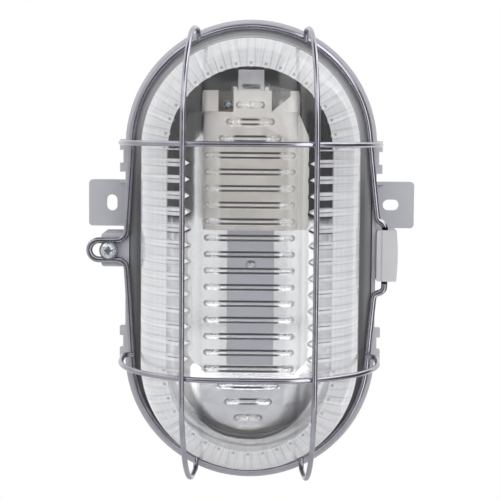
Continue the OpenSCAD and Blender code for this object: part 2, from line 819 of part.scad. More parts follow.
hinge_block_top = ring_z + ring_wire_r + 2.2;
hinge_gap = 0.1;
hinge_over = 6.2;
hinge_corner = 1;
barrel_r = 120;
groove_x = 1.8;
groove_w = 0.9;
groove_d = 0.7;
pin_end_gap = 0.3;
hinge_screw_l = 8;
module hinge_block() {
    inner = rim_r + hinge_gap;
    outer = hinge_x + hinge_over;
    long = hinge_top - hinge_low;
    middle = (hinge_top + hinge_low) / 2;
    pin_deep = pin_l + pin_end_gap + past;
    color([0.73, 0.73, 0.74]) upright() difference() {
        intersection() {
            translate([(inner + outer) / 2, middle, hinge_seat_z])
                linear_extrude(hinge_block_top - hinge_seat_z) rounded(outer - inner, long, hinge_corner);
            translate([outer - barrel_r, middle, 0]) cylinder(r = barrel_r, h = hinge_block_top + past);
        }
        translate([inner + groove_x, hinge_low - past, hinge_block_top - groove_d])
            cube([groove_w, long + 2 * past, groove_d + past]);
        translate([hinge_x, hinge_top + past, ring_z]) rotate([90, 0, 0])
            cylinder(r = ring_wire_r + pin_gap, h = pin_deep);
        translate([hinge_x, hinge_low - past, ring_z]) rotate([-90, 0, 0])
            cylinder(r = ring_wire_r + pin_gap, h = pin_deep);
        for (y = hinge_screw_y) translate([hinge_x, y, hinge_seat_z - past])
            cylinder(r = hinge_hole_r, h = hinge_screw_l);
    }
}

module hinge_screws() {
    color(steel) upright() for (y = hinge_screw_y) translate([hinge_x, y, hinge_seat_z - shelf_t])
        rotate([180, 0, 0]) pan_screw(small_screw_r, 2.5, hinge_screw_l);
}

// How many pieces the wires' arcs take
bend_steps = 5;
eye_steps = 10;
end_steps = 28;
foot_steps = 6;
arch_steps = 14;

// Where the two legs beside the eye start to bend outwards
eye_bend_y = eye_r + eye_bend_r * (1 - sin(eye_slant));
eye_leg_x = ring_r + (straight_l / 2 - eye_bend_y) * tan(eye_slant);
eye_corner_x = eye_leg_x + eye_bend_r * cos(eye_slant);
eye_middle_x = eye_end - eye_r;

// The double bend that leads a leg of the ring to the hinge axis, for the upper side, from the top down
function hinge_leg(end_y, turn, jog_r) =
    let (
        centre_b = [hinge_x - jog_r, end_y],
        centre_a = centre_b + 2 * jog_r * [cos(turn), sin(turn)],
        way = centre_a - [ring_r, straight_l / 2],
        slant = atan2(way[0], -way[1]) - asin(jog_r / norm(way))
    )
    concat(
        arc(centre_a, jog_r, 180 + slant, 180 + turn, bend_steps),
        arc(centre_b, jog_r, turn, 0, bend_steps)
    );

function flip(path) = [for (i = [len(path) - 1 : -1 : 0]) [path[i][0], -path[i][1]]];
function backwards(path) = [for (i = [len(path) - 1 : -1 : 0]) path[i]];

// The ring's path from the pin above the hinge block, over the top, round the eye and back up from below
function ring_path() = concat(
    [[hinge_x, hinge_top - pin_l]],
    backwards(hinge_leg(hinge_top + upper_stub, upper_turn, upper_jog_r)),
    arc([0, straight_l / 2], ring_r, 0, 180, end_steps),
    arc([-eye_corner_x, eye_bend_y + eye_bend_r * sin(eye_slant)], eye_bend_r, -eye_slant, -90, bend_steps),
    arc([-eye_middle_x, 0], eye_r, 90, 270, eye_steps),
    arc([-eye_corner_x, -eye_bend_y - eye_bend_r * sin(eye_slant)], eye_bend_r, 90, eye_slant, bend_steps),
    arc([0, -straight_l / 2], ring_r, 180, 360, end_steps),
    flip(backwards(hinge_leg(lower_stub - hinge_low, lower_turn, lower_jog_r))),
    [[hinge_x, hinge_low + pin_l]]
);

module cage_ring() {
    color(wire_grey) upright() translate([0, 0, ring_z]) wire(ring_path(), ring_wire_r, ring_sides);
}

// How far the arching wires run on past the ring wire that they are welded to
tail = 1.5;

// Half of an arching wire, from its foot on the ring to the middle, with x outwards and y upwards
function half_arch(seat, rise, arch_r, foot_r) =
    let (reach = seat + foot_r)
    concat(
        [[seat - tail, foot_z]],
        arc([seat, foot_z + foot_r], foot_r, -90, 0, foot_steps),
        arc([reach - arch_r, rise - arch_r], arch_r, 0, 90, arch_steps)
    );

function mirrored(path) = [for (i = [len(path) - 1 : -1 : 0]) [-path[i][0], path[i][1]]];
function whole_arch(half) = concat(half, mirrored(half));

// Height at which the long wires cross the ring, and the height of the cross wires under them
long_seat = straight_l / 2 + sqrt(pow(ring_r, 2) - pow(long_x, 2));
cross_at = long_x + cage_rise * sin(long_lean);
cross_seat = ring_r;
cross_arch_r = shoulder_r + cross_ease;
cross_flat = cross_seat + cross_foot_r - cross_arch_r;
cross_slope = asin((cross_at - cross_flat) / cross_arch_r);
cross_rise = cage_rise * cos(long_lean) - (2 * wire_r - cross_weld) / cos(cross_slope)
    + cross_arch_r * (1 - cos(cross_slope));

module long_wire(side) {
    path = whole_arch(half_arch(long_seat, cage_rise, glass_r + long_ease, long_foot_r));
    color(wire_grey) upright() translate([side * long_x, 0, ring_z]) rotate([0, side * long_lean, 0])
        rotate([90, 0, 90]) wire(path, wire_r, wire_sides);
}

module cross_wire(y, lean) {
    path = whole_arch(half_arch(cross_seat, cross_rise, cross_arch_r, cross_foot_r));
    color(wire_grey) upright() translate([0, y, ring_z]) rotate([90 - lean, 0, 0])
        wire(path, wire_r, wire_sides);
}

module cage_wire_left() { long_wire(-1); }
module cage_wire_right() { long_wire(1); }
module cage_wire_upper() { cross_wire(straight_l / 2 + cross_past, cross_lean); }
module cage_wire_lower() { cross_wire(-straight_l / 2, -cross_lean); }

washer_t = 1;
washer_over = 0.8;
washer_play = 0.15;
washer_gap = 0.05;
head_gap = 0.02;
washer_z = ring_z + ring_wire_r + washer_gap;
module closure_washer() {
    color(steel) upright() translate([-screw_x, 0, washer_z]) difference() {
        cylinder(r = screw_head_r + washer_over, h = washer_t);
        translate([0, 0, -past]) cylinder(r = screw_r + washer_play, h = washer_t + 2 * past);
    }
}

module closure_screw() {
    color(steel) upright() translate([-screw_x, 0, washer_z + washer_t + head_gap])
        pan_screw(screw_r, screw_head_r, screw_l + washer_t);
}

housing();
gasket();
glass_cover();
reflector();
reflector_screw();
holder_bracket();
holder_screws();
lampholder_body();
screw_shell();
centre_contact();
contact_insulator();
terminal_left();
terminal_right();
terminal_screws();
cable_grommet();
blanking_grommet();
hinge_block();
hinge_screws();
cage_ring();
cage_wire_left();
cage_wire_right();
cage_wire_upper();
cage_wire_lower();
closure_washer();
closure_screw();
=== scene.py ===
"""The looks of an oval wall light with a hinged wire cage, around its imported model."""

import json
import math

import bmesh
import bpy
from mathutils import Matrix, Vector


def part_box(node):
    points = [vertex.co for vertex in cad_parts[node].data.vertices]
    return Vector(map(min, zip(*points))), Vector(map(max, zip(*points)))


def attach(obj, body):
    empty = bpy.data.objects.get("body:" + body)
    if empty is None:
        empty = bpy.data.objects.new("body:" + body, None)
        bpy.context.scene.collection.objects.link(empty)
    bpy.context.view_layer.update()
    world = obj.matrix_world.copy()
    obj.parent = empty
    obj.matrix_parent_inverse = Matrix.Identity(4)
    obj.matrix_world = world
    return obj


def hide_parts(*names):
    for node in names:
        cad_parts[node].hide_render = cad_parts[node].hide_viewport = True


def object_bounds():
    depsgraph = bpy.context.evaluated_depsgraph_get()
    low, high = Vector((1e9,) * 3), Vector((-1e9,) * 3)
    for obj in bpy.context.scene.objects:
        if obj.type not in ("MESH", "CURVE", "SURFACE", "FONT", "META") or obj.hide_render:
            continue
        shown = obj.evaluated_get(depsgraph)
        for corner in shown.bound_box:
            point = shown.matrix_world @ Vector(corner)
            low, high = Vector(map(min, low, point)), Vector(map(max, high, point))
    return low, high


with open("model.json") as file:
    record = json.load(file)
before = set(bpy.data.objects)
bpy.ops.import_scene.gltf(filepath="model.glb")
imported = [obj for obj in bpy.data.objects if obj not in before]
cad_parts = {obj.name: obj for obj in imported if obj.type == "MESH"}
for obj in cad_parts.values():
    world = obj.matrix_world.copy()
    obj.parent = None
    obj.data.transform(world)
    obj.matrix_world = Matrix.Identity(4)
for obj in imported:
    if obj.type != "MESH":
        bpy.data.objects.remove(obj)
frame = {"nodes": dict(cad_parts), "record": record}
cad_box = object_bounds()
nodes = frame["nodes"]
scene = bpy.context.scene
mm = 0.001
weld_gap = 0.002 * mm

# Camera, where the photograph was taken from
view_target = Vector((-0.2, -38, 0.6)) * mm
view_distance = 803 * mm
view_up = math.radians(5)
view_right = math.radians(0.5)
view_roll = math.radians(0.48)
focal_px = 1612
image_px = 500

# The studio: its soft light, and the dark room and three pale panels that gloss sees in front
ambient = 0.42
dark_room = 0.17
left_panel = 0.6
right_panel = 2.4
top_panel = 1.2

# The floor, below the hanging light
floor_r = 300 * mm
floor_drop = 90 * mm

# Moulded pieces: the turns in degrees from which an edge is rounded, and from which it is shaded sharp
rounded_from = 32
sharp_from = 40

# The glass cover, from its CAD box: round ends of one radius about two centres
glass_low, glass_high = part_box("glass_cover")
flange_r = glass_high.x
end_z = glass_high.z - flange_r
flange_back = -glass_high.y
flange_face = flange_back + 4 * mm
glass_front = -glass_low.y
glass_r = flange_r - 7.2 * mm
glass_t = 3.5 * mm
flat_half = 10 * mm
shoulder_r = glass_r - flat_half
shoulder_y = glass_front - shoulder_r

# The closure screw's thread, with the thinner core inside it, and the shell's round thread
thread_crest = 2 * mm
thread_root = 1.6 * mm
thread_pitch = 0.7 * mm
thread_core = 0.7
thread_steps = 24
head_under = 40.67 * mm
shell_sheet = 0.45 * mm
shell_wave = 1.0 * mm
shell_pitch = 3.63 * mm
shell_steps = 48
wave_steps = 10

# Where the cage's pins leave the hinge block, in millimetres
hinge_low, hinge_high = [corner.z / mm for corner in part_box("hinge_block")]

# The pattern moulded inside the glass, in millimetres
end_mm = end_z / mm
rib_pitch = 7.6
rib_half = 1.9
rib_step = 10
rib_h = 1.1
window_r = 37.4
rib_tip = 27
rib_taper = 3.4
bar_half = 20.4
bar_r = 1.25
bar_rows = 7
end_bars = [14, 10.8, 6.3]


def make_camera():
    way = Vector((math.sin(view_right), -math.cos(view_right) * math.cos(view_up), math.sin(view_up)))
    data = bpy.data.cameras.new("camera")
    data.sensor_width = 36
    data.lens = data.sensor_width * focal_px / image_px
    data.clip_start = 0.01
    camera = bpy.data.objects.new("camera", data)
    camera.location = view_target + way.normalized() * view_distance
    turn = (view_target - camera.location).to_track_quat("-Z", "Y").to_matrix()
    camera.rotation_euler = (turn @ Matrix.Rotation(view_roll, 3, "Z")).to_euler()
    scene.collection.objects.link(camera)
    scene.camera = camera


class Value:
    """A socket of a shader, written as a number in sums."""

    def __init__(self, tree, socket):
        self.tree = tree
        self.socket = socket

    def math(self, operation, other=0.0, third=0.0):
        made = self.tree.nodes.new("ShaderNodeMath")
        made.operation = operation
        for place, value in enumerate((self, other, third)):
            put(self.tree, made.inputs[place], value)
        return Value(self.tree, made.outputs[0])

    def __add__(self, other):
        return self.math("ADD", other)

    __radd__ = __add__

    def __mul__(self, other):
        return self.math("MULTIPLY", other)

    __rmul__ = __mul__

    def __sub__(self, other):
        return self.math("SUBTRACT", other)

    def __rsub__(self, other):
        return self.math("MULTIPLY_ADD", -1.0, other)

    def __truediv__(self, other):
        return self.math("DIVIDE", other)

    def __pow__(self, other):
        return self.math("POWER", other)

    def __abs__(self):
        return self.math("ABSOLUTE")

    def at_least(self, other):
        return self.math("MAXIMUM", other)

    def at_most(self, other):
        return self.math("MINIMUM", other)

    def rise(self, low, high):
        """0 below low, 1 above high and smooth between; falls where low is the larger."""
        made = self.tree.nodes.new("ShaderNodeMapRange")
        made.interpolation_type = "SMOOTHSTEP"
        put(self.tree, made.inputs["Value"], self)
        put(self.tree, made.inputs["From Min"], min(low, high))
        put(self.tree, made.inputs["From Max"], max(low, high))
        put(self.tree, made.inputs["To Min"], 0.0 if low < high else 1.0)
        put(self.tree, made.inputs["To Max"], 1.0 if low < high else 0.0)
        return Value(self.tree, made.outputs["Result"])

    def near(self, middle, half, soft):
        """1 within half of the middle, falling to 0 over the soft width."""
        return abs(self - middle).rise(half + soft, half)


def put(tree, socket, value):
    if isinstance(value, Value):
        tree.links.new(value.socket, socket)
    elif isinstance(value, tuple) and len(value) == 3 and len(socket.default_value) == 4:
        socket.default_value = (*value, 1)
    else:
        socket.default_value = value


class Finish:
    """A material with a Principled shader, whose patterns are in millimetres of the lamp's own frame."""

    def __init__(self, name, rough, metal=0.0, **constants):
        self.material = bpy.data.materials.new(name)
        self.material.use_nodes = True
        self.tree = self.material.node_tree
        self.shader = self.tree.nodes["Principled BSDF"]
        self.set(Roughness=rough, Metallic=metal, **constants)
        coordinates = Value(self.tree, self.tree.nodes.new("ShaderNodeTexCoord").outputs["Object"])
        sockets = {"Vector": coordinates, "Scale": 1 / mm}
        self.place = self.out("VectorMath", {"operation": "SCALE"}, sockets, "Vector")

    def set(self, **values):
        for name, value in values.items():
            put(self.tree, self.shader.inputs[name.replace("_", " ")], value)

    def node(self, kind, settings, sockets):
        made = self.tree.nodes.new("ShaderNode" + kind)
        for name, value in settings.items():
            setattr(made, name, value)
        for name, value in sockets.items():
            put(self.tree, made.inputs[name], value)
        return made

    def out(self, kind, settings, sockets, output):
        return Value(self.tree, self.node(kind, settings, sockets).outputs[output])

    def axes(self):
        split = self.node("SeparateXYZ", {}, {"Vector": self.place})
        return [Value(self.tree, split.outputs[axis]) for axis in "XYZ"]

    def noise(self, scale, detail=2.0, stretch=(1.0, 1.0, 1.0)):
        """Noise from about 0.3 to 0.7, with its spots about 1 / scale millimetres across."""
        grid = self.out("Mapping", {}, {"Vector": self.place, "Scale": stretch}, "Vector")
        return self.out("TexNoise", {}, {"Vector": grid, "Scale": scale, "Detail": detail}, "Fac")

    def stripes(self, value, scale, detail):
        """Noise along one value, such as a distance or an angle."""
        sockets = {"W": value, "Scale": scale, "Detail": detail}
        return self.out("TexNoise", {"noise_dimensions": "1D"}, sockets, "Fac")

    def tint(self, tone, green, blue):
        """A grey of the tone, with its green and blue scaled."""
        sockets = {"Red": tone, "Green": tone * green, "Blue": tone * blue}
        return self.out("CombineColor", {}, sockets, "Color")

    def mix(self, factor, first, second):
        made = self.tree.nodes.new("ShaderNodeMix")
        made.data_type = "RGBA"
        put(self.tree, made.inputs[0], factor)
        put(self.tree, made.inputs[6], first)
        put(self.tree, made.inputs[7], second)
        return Value(self.tree, made.outputs[2])

    def veil(self, colour, rough, factor):
        """Lays an opaque layer over the shader, as far as the factor says."""
        layer = self.node("BsdfPrincipled", {}, {"Roughness": rough, "Base Color": colour})
        blend = self.node("MixShader", {}, {"Fac": factor})
        self.tree.links.new(self.shader.outputs[0], blend.inputs[1])
        self.tree.links.new(layer.outputs[0], blend.inputs[2])
        self.tree.links.new(blend.outputs[0], self.tree.nodes["Material Output"].inputs["Surface"])

    def bump(self, height, depth_mm):
        sockets = {"Height": height, "Distance": depth_mm * mm, "Strength": 1.0}
        self.set(Normal=self.out("Bump", {}, sockets, "Normal"))


def moulded(name, colour, rough):
    """Moulded plastic: a faint cloud in its colour, and a fine grain that breaks up its gloss."""
    finish = Finish(name, rough)
    cloud = finish.noise(0.05, 3.0)
    speck = finish.noise(2.2, 2.0)
    dark = tuple(0.96 * c for c in colour)
    pale = tuple(1.03 * c for c in colour)
    finish.set(Base_Color=finish.mix((cloud * 0.7 + speck * 0.3).rise(0.35, 0.65), dark, pale))
    finish.set(Roughness=rough - 0.05 + 0.1 * speck)
    finish.bump(finish.noise(3.5, 3.0), 0.03)
    return finish


def wire_paint():
    """Silver-grey plating on drawn wire, with faint flow marks, and painted shade, nearly black, on the
    pins where they leave the hinge block.
    """
    finish = Finish("silver_plating", 0.2, 1.0)
    x, _, z = finish.axes()
    # Painted shade: the pins are nearly black where they leave the hinge block.
    pins = x.rise(64.0, 64.8) * z.near(hinge_high, 1.2, 0.6).at_least(z.near(hinge_low, 1.2, 0.6))
    flake = finish.noise(6.0, 1.0)
    flow = finish.noise(0.12, 3.0)
    tone = (flake * 0.4 + flow * 0.6).rise(0.38, 0.64)
    plating = finish.mix(tone, (0.34, 0.33, 0.38), (0.44, 0.43, 0.485))
    finish.set(Base_Color=finish.mix(pins, plating, (0.01, 0.01, 0.012)))
    finish.set(Roughness=0.14 + 0.12 * flow)
    finish.bump(finish.noise(0.9, 2.0), 0.02)
    return finish


def zinc_plate(name, dark, pale):
    """Bluish zinc on small steel parts, with turning marks and a few dull spots."""
    finish = Finish(name, 0.22, 1.0)
    spot = finish.noise(1.3, 3.0)
    finish.set(Base_Color=finish.mix(spot.rise(0.4, 0.62), dark, pale))
    finish.set(Roughness=0.16 + 0.2 * spot)
    finish.bump(finish.noise(7.0, 1.0), 0.008)
    return finish


def brass(name, dark, pale):
    finish = Finish(name, 0.28, 1.0)
    spot = finish.noise(0.8, 3.0)
    finish.set(Base_Color=finish.mix(spot.rise(0.35, 0.65), dark, pale))
    finish.set(Roughness=0.22 + 0.16 * spot)
    finish.bump(finish.noise(5.0, 1.0), 0.008)
    return finish


def rubber(name, dark, pale):
    finish = Finish(name, 0.6)
    dust = finish.noise(0.35, 4.0)
    finish.set(Base_Color=finish.mix(dust.rise(0.35, 0.65), dark, pale))
    finish.set(Roughness=0.5 + 0.2 * dust)
    finish.bump(finish.noise(2.5, 3.0), 0.03)
    return finish


def bracket_plastic():
    """Pale grey moulding with a dusty grain, and painted shade, nearly black, where it lies deep behind the
    holder.
    """
    finish = Finish("bracket_grey", 0.38)
    _, y, _ = finish.axes()
    dust = finish.noise(0.3, 3.0)
    pale = finish.mix(dust.rise(0.35, 0.65), (0.80, 0.80, 0.85), (0.88, 0.88, 0.93))
    # Painted shade: nearly black where the moulding lies deep behind the holder.
    finish.set(Base_Color=finish.mix(y.rise(-50.0, -44.0), pale, (0.05, 0.05, 0.055)))
    finish.set(Roughness=0.33 + 0.14 * dust)
    finish.bump(finish.noise(3.0, 2.0), 0.02)
    return finish


def holder_plastic():
    """Cream moulding: warmer in the clouds, with painted light along its right flank and painted shade,
    nearly black, in its pockets.
    """
    finish = Finish("cream_moulding", 0.38)
    x, y, z = finish.axes()
    cloud = finish.noise(0.08, 3.0)
    cream = finish.mix(cloud.rise(0.35, 0.65), (0.62, 0.59, 0.56), (0.70, 0.67, 0.635))
    # Painted light: paler along the right flank.
    cream_with_painted_flank_light = finish.mix(x.rise(16.5, 19.5) * 0.75, cream, (0.86, 0.83, 0.80))
    # Painted shade: nearly black in the terminal pockets.
    painted_pocket_shade = y.rise(-63.5, -60.0) * z.rise(66.0, 68.0) * abs(x).rise(21.0, 20.5)
    finish.set(Base_Color=finish.mix(painted_pocket_shade, cream_with_painted_flank_light, (0.03, 0.022, 0.018)))
    finish.set(Roughness=0.33 + 0.12 * cloud)
    finish.bump(finish.noise(3.0, 2.0), 0.02)
    return finish


def reflector_metal():
    """Pressed bright sheet: mirror-bright floor, a satin tongue with a darker blue-grey reflection painted
    on it, painted shadow on the walls round the upper end with a painted gleam in it, and painted shade in
    the lower bowl.
    """
    finish = Finish("pressed_aluminium", 0.14, 1.0)
    x, _, z = finish.axes()
    draw = finish.noise(0.35, 2.0, (1.0, 1.0, 0.06))
    cloud = finish.noise(0.05, 3.0)
    side = abs(x)
    bright = finish.mix(cloud.rise(0.3, 0.7), (0.95, 0.96, 0.98), (0.99, 0.99, 1.0))
    wall = side.rise(28.5, 31.0).at_least(z.rise(56.0, 60.0))
    upper = z.rise(8.0, 20.0)
    # Painted shadow, dark and bluish, on the walls round the upper end.
    shadow = wall * upper
    # The tongue: satin, with a darker blue-grey reflection painted on it.
    tongue = side.rise(11.6, 11.2) * z.rise(-62.5, -60.5) * z.rise(20.0, 16.0)
    # Painted shade in the lower bowl, lighter towards the ring at its end.
    bowl = z.rise(-62.0, -72.0) * x.rise(38.0, 28.0) * x.rise(-36.0, -24.0)
    ring = z.rise(-90.0, -95.0)
    colour = finish.mix(tongue * 0.8, bright, (0.44, 0.44, 0.51))
    colour = finish.mix(shadow * 0.93, colour, (0.055, 0.065, 0.09))
    colour = finish.mix(bowl * (0.85 - 0.4 * ring), colour, (0.10, 0.10, 0.115))
    # Painted gleam: a lighter band of reflection in the painted shadow of the walls.
    gleam = side.near(27.6, 0.8, 2.0) * z.near(66.0, 4.0, 5.0)
    colour = finish.mix(gleam * 0.5, colour, (0.25, 0.26, 0.29))
    satin = (1.0 - shadow) * (1.0 - bowl)
    finish.set(Base_Color=colour, Metallic=1.0 - 0.12 * satin)
    finish.set(Roughness=0.1 + 0.12 * draw + 0.2 * tongue)
    finish.bump(draw * (1.0 - 0.9 * shadow), 0.02)
    return finish


def oval_reach(x, z):
    """Millimetres from the line that joins the round ends' centres, and how far past its end."""
    over = (abs(z) - end_mm).at_least(0.0)
    return (abs(x) ** 2.0 + over ** 2.0).math("SQRT"), over


def glass_clear():
    """Clear pressed glass, with reflections painted over its flange and foot: pale towards the top, dark
    lower down, with bright lines along the flange.
    """
    finish = Finish("clear_glass", 0.0, 0.0, Transmission_Weight=1.0, IOR=1.46)
    x, y, z = finish.axes()
    seed = finish.noise(0.06, 2.0)
    finish.set(Base_Color=finish.mix(seed.rise(0.3, 0.7), (0.985, 0.995, 0.995), (1.0, 1.0, 1.0)))
    finish.set(Roughness=0.01 + 0.02 * seed)
    finish.bump(finish.noise(0.08, 2.0), 0.12)
    reach, _ = oval_reach(x, z)
    across = reach - glass_r / mm
    flange = across.rise(0.2, 1.6)
    foot = y.rise(-47.0, -42.0) * (1.0 - flange)
    # Painted reflections: a veil over the flange and foot, pale towards the top and dark lower down, with
    # painted bright lines along the flange.
    upper = z.rise(20.0, 75.0)
    line = 0.16 * across.near(1.1, 0.3, 0.4) + 0.1 * across.rise(3.2, 4.8)
    tone = (0.13 + 0.34 * upper + line) * (0.7 + 0.6 * finish.stripes(reach, 1.1, 1.0))
    finish.veil(finish.tint(tone, 1.01, 1.04), 0.4, flange * 0.72 + foot * 0.25)
    return finish


def fraction(value):
    """From -0.5 to 0.5 about each whole number."""
    return (value + 0.5).math("FRACT") - 0.5


def glass_pattern():
    """The moulded inside of the glass, its look painted over the ribs and bars: a pale veil of painted
    reflections over the ribs, painted dark lines along rib and bar edges, and painted highlights on rib
    points and bar ends.
    """
    finish = Finish("ribbed_glass", 0.02, 0.0, Transmission_Weight=1.0, IOR=1.46)
    x, _, z = finish.axes()
    side = abs(x)
    height = abs(z)
    reach, over = oval_reach(x, z)
    turn = over.math("ARCTAN2", side) * (180 / math.pi)
    in_end = over.rise(0.0, 0.1)
    rib_across = fraction(turn / rib_step) * rib_step * reach * (math.pi / 180)
    side_across = fraction(z / rib_pitch) * rib_pitch
    across = abs(rib_across * in_end + side_across * (1.0 - in_end))

    streak = finish.noise(0.5, 2.0)
    band = finish.stripes(reach, 0.45, 2.0)
    # The band outside the clear window, over which a pale veil of painted reflections is laid.
    painted_reflection_band = reach.rise(window_r - 0.4, window_r + 0.8)
    tip_half = ((side - rib_tip) / rib_taper).at_least(0.0).at_most(1.0) * rib_half
    on_rib = (tip_half - across).rise(0.0, 0.25) * (1.0 - in_end)
    # Painted highlight on the pointed tips of the side ribs.
    point = on_rib * side.rise(rib_tip + rib_taper + 0.5, rib_tip + rib_taper - 0.5)
    # Painted shade: dark lines along the rib edges in the band, stronger towards the inside.
    painted_rib_edge_shade = across.near(rib_half, 0.12, 0.3) * painted_reflection_band * (0.35 + 0.65 * reach.rise(50.0, 40.0))
    # Painted highlight: a bright line along each side rib, beside its middle.
    ridge_line = across.near(0.9, 0.15, 0.3) * (1.0 - in_end) * side.rise(29.5, 31.0)
    # Painted shade: a dark line down the middle of the side ribs, between 31 and 37.5 mm out.
    middle = across.near(0.0, 0.12, 0.22) * side.rise(31.0, 32.0) * side.rise(37.5, 36.5) * (1.0 - in_end)
    # Painted shade: a dark dimple spot on each end rib, just outside the window.
    painted_dimple_shade = across.near(0.0, 0.5, 0.4) * reach.near(window_r + 1.2, 0.35, 0.4) * in_end
    # Painted highlight: a bright line round the rim of the window at the ends.
    rim_line = reach.near(window_r + 0.2, 0.15, 0.35) * in_end

    place = height / rib_pitch - 0.5
    bar_across = abs(fraction(place)) * rib_pitch
    half = bar_half * height.rise(bar_rows * rib_pitch + 0.05, bar_rows * rib_pitch)
    for row, length in enumerate(end_bars):
        low = (bar_rows + row) * rib_pitch
        high = low + rib_pitch
        half = half + length * height.rise(low, low + 0.05) * height.rise(high, high - 0.05)
    past = (side - half + bar_r).at_least(0.0)
    from_bar = (past ** 2.0 + bar_across ** 2.0).math("SQRT")
    barred = half.rise(1.0, 2.0)
    # Painted shade: dark lines along the bar edges, fainter a little way in from the ends.
    edge = from_bar.near(bar_r - 0.16, 0.42, 0.14) * barred
    inner = (half - side).rise(5.5, 7.5)
    cap = (half - side).rise(2.2, 0.6)
    # Painted glints near the bar ends.
    sparkle = finish.noise(1.6, 1.0).rise(0.52, 0.6) * (half - side).near(4.5, 1.5, 1.5)
    tip = from_bar.rise(bar_r + 0.3, bar_r - 0.2) * barred * sparkle
    lines = edge * (0.22 + 0.78 * inner.at_least(cap * 0.75))

    along = turn * in_end * 0.8 + z * (1.0 - in_end)
    ray = finish.stripes(along, 0.9, 3.0)
    # The veil's tone: streaked, with painted shade darker towards the top and paler towards the bottom.
    shade = (0.60 + 0.26 * band + 0.12 * streak + 0.36 * ray) * (1.0 - 0.0012 * z)
    dark = (lines * 0.95).at_least(painted_dimple_shade * 0.5).at_least(middle * 0.8)
    # All the painted highlights together.
    light = point.at_least(ridge_line * 0.7).at_least(rim_line * 0.8).at_least(tip)
    # Painted light: a pale veil over the outer part of the lower half.
    painted_lower_light = z.rise(16.0, 4.0) * reach.rise(30.5, 31.5) * 0.35
    pale = (painted_reflection_band * 0.76).at_least(on_rib * 0.66).at_least(light * 0.9).at_least(painted_lower_light)
    tone = (shade - painted_rib_edge_shade * 0.2 + light * 0.15) * (1.0 - dark) + 0.01 * dark
    finish.veil(finish.tint(tone, 1.0, 1.03), 0.35, pale.at_least(dark))
    return finish


def make_world():
    """White for the camera and through glass; gloss sees white behind and pale panels in front."""
    world = bpy.data.worlds.new("surround")
    world.use_nodes = True
    tree = world.node_tree
    path = tree.nodes.new("ShaderNodeLightPath")
    camera, through, gloss = [Value(tree, path.outputs[f"Is {kind} Ray"])
                              for kind in ("Camera", "Transmission", "Glossy")]
    clear = camera.at_least(through)
    split = tree.nodes.new("ShaderNodeSeparateXYZ")
    tree.links.new(tree.nodes.new("ShaderNodeTexCoord").outputs["Generated"], split.inputs[0])
    x, y, z = [Value(tree, split.outputs[axis]) for axis in "XYZ"]
    behind = y.rise(0.5, 0.8)
    left = x.rise(-0.5, -0.62)
    right = x.rise(0.32, 0.4) * x.rise(0.74, 0.66)
    top = z.rise(0.42, 0.54) * z.rise(0.92, 0.8)
    studio = dark_room + (left * left_panel).at_least(right * right_panel).at_least(top * top_panel)
    shown = studio + behind * (1.0 - studio)
    strength = ambient + gloss * (shown - ambient)
    shade = tree.nodes["Background"]
    shade.inputs["Color"].default_value = (1, 1, 1, 1)
    put(tree, shade.inputs["Strength"], strength + clear * (1.0 - strength))
    scene.world = world


def add_lamp(name, place, size, watts):
    data = bpy.data.lights.new(name, "AREA")
    data.size = size
    data.energy = watts
    lamp = bpy.data.objects.new(name, data)
    lamp.location = place
    lamp.rotation_euler = (view_target - lamp.location).to_track_quat("-Z", "Y").to_euler()
    lamp.visible_glossy = False
    scene.collection.objects.link(lamp)


def add_piece(name, bm, finishes):
    mesh = bpy.data.meshes.new(name)
    bm.to_mesh(mesh)
    bm.free()
    piece = bpy.data.objects.new(name, mesh)
    scene.collection.objects.link(piece)
    for finish in finishes:
        mesh.materials.append(finish.material)
    return piece


def make_floor(finish):
    """A pale round floor, below and round the middle of the hanging light."""
    bm = bmesh.new()
    bmesh.ops.create_circle(bm, cap_ends=True, segments=96, radius=floor_r)
    bmesh.ops.translate(bm, verts=bm.verts, vec=(0, -0.05, cad_box[0].z - floor_drop))
    add_piece("floor", bm, [finish])


def copy_of(node):
    """The node's mesh with its loose triangles joined at their corners."""
    bm = bmesh.new()
    bm.from_mesh(nodes[node].data)
    bmesh.ops.remove_doubles(bm, verts=bm.verts, dist=weld_gap)
    return bm


def stand_in(piece, node):
    """Puts the piece in the node's place, on its body."""
    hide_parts(node)
    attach(piece, bodies[node])


def smooth_wire(node, finish):
    """A round wire from the CAD's faceted one."""
    bm = copy_of(node)
    bmesh.ops.join_triangles(bm, faces=bm.faces, angle_face_threshold=0.6, angle_shape_threshold=1.2)
    for face in bm.faces:
        face.smooth = True
    piece = add_piece(node + "_round", bm, [finish])
    rounder = piece.modifiers.new("rounder", "SUBSURF")
    rounder.levels = rounder.render_levels = 1
    stand_in(piece, node)


def soften(node, finish, width_mm):
    """A moulded copy of a CAD node: its flat faces joined and its sharp edges rounded."""
    bm = copy_of(node)
    bmesh.ops.dissolve_limit(bm, angle_limit=math.radians(0.5), verts=bm.verts, edges=bm.edges)
    if width_mm > 0:
        limit = math.radians(rounded_from)
        sharp = [e for e in bm.edges if len(e.link_faces) == 2 and e.calc_face_angle(0) > limit]
        bmesh.ops.bevel(bm, geom=sharp, offset=width_mm * mm, offset_type="OFFSET", segments=2, profile=0.5,
                        affect="EDGES", clamp_overlap=True, material=-1)
    bmesh.ops.triangulate(bm, faces=[f for f in bm.faces if len(f.verts) > 4])
    smooth_by_angle(bm, sharp_from)
    piece = add_piece(node + "_moulded", bm, [finish])
    piece.modifiers.new("flat_faces", "WEIGHTED_NORMAL").keep_sharp = True
    stand_in(piece, node)


def smooth_by_angle(bm, angle):
    """Shades the mesh smooth, but for the edges that turn by the angle, in degrees, or more."""
    for face in bm.faces:
        face.smooth = True
    for e in bm.edges:
        e.smooth = len(e.link_faces) != 2 or e.calc_face_angle(0) < math.radians(angle)


